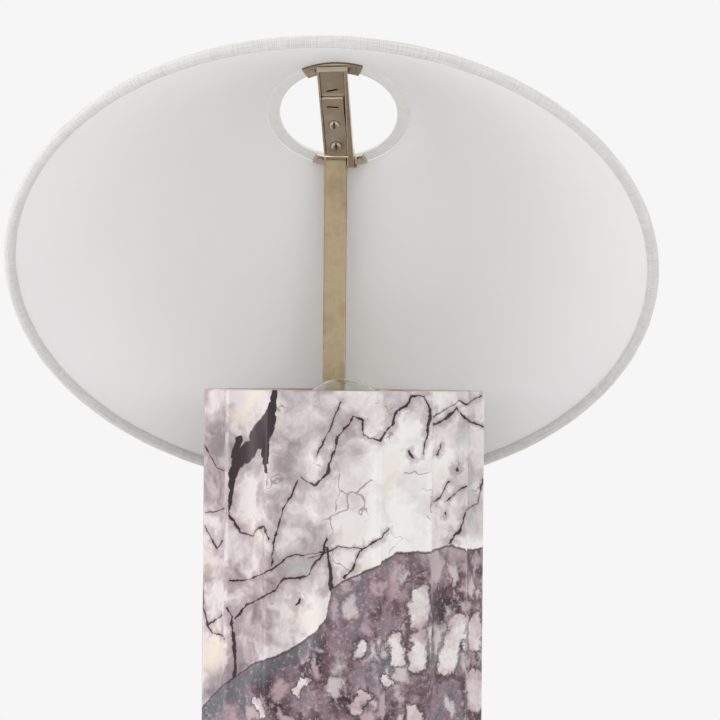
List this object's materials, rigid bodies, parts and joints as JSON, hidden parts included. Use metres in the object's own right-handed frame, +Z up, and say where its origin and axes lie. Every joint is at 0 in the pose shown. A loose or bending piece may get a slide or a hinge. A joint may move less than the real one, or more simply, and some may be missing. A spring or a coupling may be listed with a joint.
{
  "type": "table lamp",
  "caption": "Fluted stone column lamp with a sunk globe bulb and a tilting linen cone shade on a flat brass mast.",
  "frame": {"origin": "centre of the felt's underside, on the column's axis", "axes": "+Z up the column's axis, -Y the front that the shade is tilted towards, +Y the rear with the mast and the cord's hole"},
  "size_m": [0.3, 0.2257, 0.4567],
  "materials": {
    "marble": "polished, veined",
    "felt": "matte felt",
    "steel": "plain",
    "brass": "brushed, aged",
    "black_plastic": "moulded",
    "lead_insulation": "sleeved",
    "ceramic": "unglazed",
    "bulb_glass": "clear",
    "cap_glass": "vitrified",
    "filament": "coated",
    "lining": "smooth, laminated",
    "linen": "woven linen",
    "washer_plastic": "moulded"
  },
  "bodies": {
    "base": {"marble_column": "marble", "base_felt": "felt", "base_plate": "steel", "tie_tube": "steel", "tie_nuts": "steel", "tie_washers": "steel", "cord_gland": "black_plastic", "terminal_block": "black_plastic", "terminal_screws": "steel", "inner_leads": "lead_insulation", "top_plate": "brass", "lamp_cup": "brass", "mast": "brass", "mast_screws": "brass", "hinge_pin": "brass", "lampholder_base": "black_plastic", "lampholder_insert": "ceramic", "lampholder_sleeve": "black_plastic", "lampholder_shell": "steel", "lampholder_contact": "brass", "bulb_glass": "bulb_glass", "bulb_cap": "steel", "bulb_insulator": "cap_glass", "bulb_button": "steel", "bulb_stem": "bulb_glass", "bulb_filaments": "filament", "filament_spokes": "steel"},
    "shade": {"shade_lining": "lining", "shade_cover": "linen", "bottom_ring": "steel", "rim_binding": "linen", "top_ring": "steel", "top_binding": "linen", "saddle_rivets": "brass", "front_saddle": "brass", "rear_saddle": "brass", "bracket_channel": "brass", "friction_leaf": "brass", "leaf_screws": "brass", "stop_block": "brass", "bracket_screws": "brass", "hinge_washer": "washer_plastic"}
  },
  "joints": [
    {"name": "shade_tilt", "type": "hinge", "parent": "base", "child": "shade", "pos_m": [-0.0048, 0.0515, 0.4102], "axis": [1, 0, 0], "range_deg": [0, 41.6]}
  ]
}
